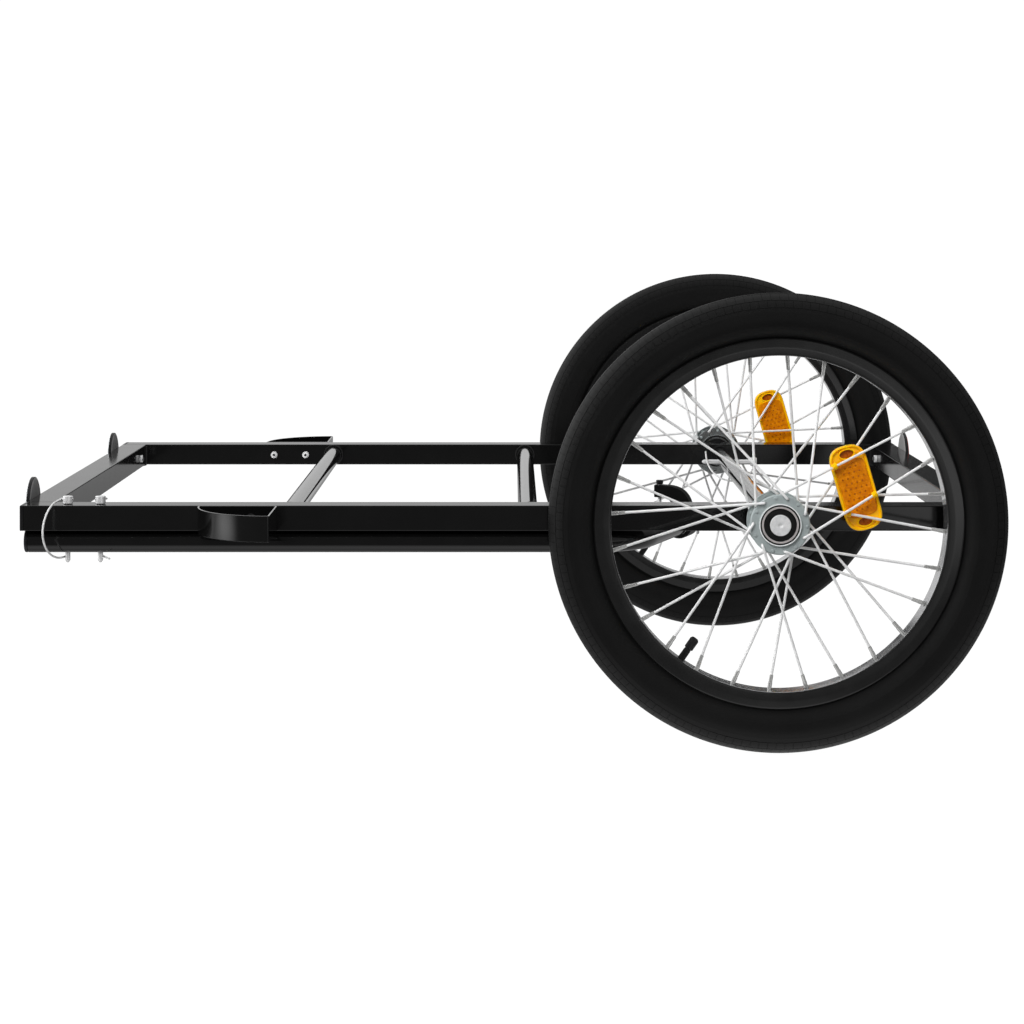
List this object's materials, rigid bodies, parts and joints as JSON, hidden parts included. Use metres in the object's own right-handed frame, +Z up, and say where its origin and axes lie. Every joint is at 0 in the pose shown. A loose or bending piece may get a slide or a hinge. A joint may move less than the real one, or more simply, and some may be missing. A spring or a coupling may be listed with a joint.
{
  "type": "bicycle trailer chassis",
  "caption": "Flat tubular bicycle trailer frame on two spoked wheels, with strap loops, reflectors and a drawbar stowed under the left rail by spring-bow lock pins.",
  "frame": {"origin": "on the ground under the middle of the trailer's bounding box, midway between the wheels and midway along the frame", "axes": "+X towards the rear of the trailer along its side rails, -X towards the bicycle; +Y towards the trailer's right wheel; +Z up from the ground"},
  "size_m": [0.8606, 0.7746, 0.396],
  "materials": {
    "black_powder_coat": "gloss",
    "black_plastic": "satin",
    "black_rubber": "matte",
    "tyre_rubber": "matte",
    "zinc_plated_steel": "satin",
    "hub_steel": "satin",
    "spoke_steel": "satin",
    "bearing_steel": "satin",
    "black_rim_enamel": "gloss",
    "amber_plastic": "gloss",
    "amber_lens": "gloss",
    "clear_lens": "gloss",
    "red_lens": "gloss"
  },
  "bodies": {
    "chassis": {"left_side_rail": "black_powder_coat", "right_side_rail": "black_powder_coat", "front_crossmember": "black_powder_coat", "rear_crossmember": "black_powder_coat", "front_cross_tube": "black_powder_coat", "middle_cross_tube": "black_powder_coat", "axle_tube": "black_powder_coat", "left_strap_loop": "black_powder_coat", "right_strap_loop": "black_powder_coat", "drawbar_tube": "black_powder_coat", "front_left_rail_plug": "black_plastic", "front_right_rail_plug": "black_plastic", "rear_left_rail_plug": "black_plastic", "rear_right_rail_plug": "black_plastic", "left_strap_loop_front_bolt": "zinc_plated_steel", "left_strap_loop_rear_bolt": "zinc_plated_steel", "right_strap_loop_front_bolt": "zinc_plated_steel", "right_strap_loop_rear_bolt": "zinc_plated_steel", "front_left_reflector_housing": "black_plastic", "front_left_reflector_lens": "clear_lens", "front_right_reflector_housing": "black_plastic", "front_right_reflector_lens": "clear_lens", "rear_left_reflector_housing": "black_plastic", "rear_left_reflector_lens": "red_lens", "rear_right_reflector_housing": "black_plastic", "rear_right_reflector_lens": "red_lens", "drawbar_end_plug": "black_plastic", "hitch_end_bush": "zinc_plated_steel", "hitch_swivel_shaft": "zinc_plated_steel", "hitch_rubber_sleeve": "black_rubber", "left_stub_axle": "zinc_plated_steel", "right_stub_axle": "zinc_plated_steel"},
    "left_wheel": {"left_tyre": "tyre_rubber", "left_inner_tube": "black_rubber", "left_rim": "black_rim_enamel", "left_hub_shell": "hub_steel", "left_spokes_and_nipples": "spoke_steel", "left_hub_bearings": "bearing_steel", "left_spoke_reflector_body": "amber_plastic", "left_spoke_reflector_lens": "amber_lens"},
    "right_wheel": {"right_tyre": "tyre_rubber", "right_inner_tube": "black_rubber", "right_rim": "black_rim_enamel", "right_hub_shell": "hub_steel", "right_spokes_and_nipples": "spoke_steel", "right_hub_bearings": "bearing_steel", "right_spoke_reflector_body": "amber_plastic", "right_spoke_reflector_lens": "amber_lens"},
    "front_drawbar_pin": {"front_drawbar_lock_pin": "zinc_plated_steel"},
    "front_drawbar_bow": {"front_drawbar_pin_bow": "zinc_plated_steel"},
    "rear_drawbar_pin": {"rear_drawbar_lock_pin": "zinc_plated_steel"},
    "rear_drawbar_bow": {"rear_drawbar_pin_bow": "zinc_plated_steel"},
    "left_axle_pin": {"left_axle_lock_pin": "zinc_plated_steel"},
    "left_axle_bow": {"left_axle_pin_bow": "zinc_plated_steel"},
    "right_axle_pin": {"right_axle_lock_pin": "zinc_plated_steel"},
    "right_axle_bow": {"right_axle_pin_bow": "zinc_plated_steel"},
    "hitch_claw": {"hitch_claw": "black_powder_coat"},
    "hitch_lock_pin": {"hitch_lock_pin": "zinc_plated_steel"},
    "hitch_cross_pin": {"hitch_cross_pin": "zinc_plated_steel"}
  },
  "joints": [
    {"name": "left_wheel_spin", "type": "hinge", "parent": "chassis", "child": "left_wheel", "pos_m": [0.232, -0.34, 0.198], "axis": [0, 1, 0], "continuous": true},
    {"name": "right_wheel_spin", "type": "hinge", "parent": "chassis", "child": "right_wheel", "pos_m": [0.232, 0.34, 0.198], "axis": [0, 1, 0], "continuous": true},
    {"name": "front_drawbar_pin_slide", "type": "slide", "parent": "chassis", "child": "front_drawbar_pin", "axis": [0, 0, 1], "range_m": [0, 0.046]},
    {"name": "front_drawbar_bow_swing", "type": "hinge", "parent": "front_drawbar_pin", "child": "front_drawbar_bow", "pos_m": [-0.3846, -0.295, 0.2133], "axis": [-0.9781, 0.2079, 0], "range_deg": [0, 180]},
    {"name": "rear_drawbar_pin_slide", "type": "slide", "parent": "chassis", "child": "rear_drawbar_pin", "axis": [0, 0, 1], "range_m": [0, 0.046]},
    {"name": "rear_drawbar_bow_swing", "type": "hinge", "parent": "rear_drawbar_pin", "child": "rear_drawbar_bow", "pos_m": [-0.356, -0.295, 0.2133], "axis": [0.891, 0.454, 0], "range_deg": [0, 180]},
    {"name": "left_axle_pin_slide", "type": "slide", "parent": "chassis", "child": "left_axle_pin", "axis": [1, 0, 0], "range_m": [0, 0.04]},
    {"name": "left_axle_bow_swing", "type": "hinge", "parent": "left_axle_pin", "child": "left_axle_bow", "pos_m": [0.2622, -0.2, 0.198], "axis": [0, -0.4695, -0.8829], "range_deg": [0, 180]},
    {"name": "right_axle_pin_slide", "type": "slide", "parent": "chassis", "child": "right_axle_pin", "axis": [1, 0, 0], "range_m": [0, 0.04]},
    {"name": "right_axle_bow_swing", "type": "hinge", "parent": "right_axle_pin", "child": "right_axle_bow", "pos_m": [0.2622, 0.2, 0.198], "axis": [0, -0.4695, 0.8829], "range_deg": [0, 180]},
    {"name": "hitch_claw_swivel", "type": "hinge", "parent": "chassis", "child": "hitch_claw", "pos_m": [0.15687, -0.17478, 0.1767], "axis": [0.3551, 0.9348, 0], "range_deg": [-90, 90]},
    {"name": "hitch_lock_pin_lift", "type": "slide", "parent": "hitch_claw", "child": "hitch_lock_pin", "axis": [0, 0, 1], "range_m": [0, 0.026]},
    {"name": "hitch_cross_pin_lift", "type": "slide", "parent": "chassis", "child": "hitch_cross_pin", "axis": [0, 0, 1], "range_m": [0, 0.02]}
  ],
  "couplings": [
    {"joint": "front_drawbar_bow_swing", "follows": "front_drawbar_pin_slide", "rad_per_m": 68.2},
    {"joint": "rear_drawbar_bow_swing", "follows": "rear_drawbar_pin_slide", "rad_per_m": 68.2},
    {"joint": "left_axle_bow_swing", "follows": "left_axle_pin_slide", "rad_per_m": 78.5},
    {"joint": "right_axle_bow_swing", "follows": "right_axle_pin_slide", "rad_per_m": 78.5}
  ]
}
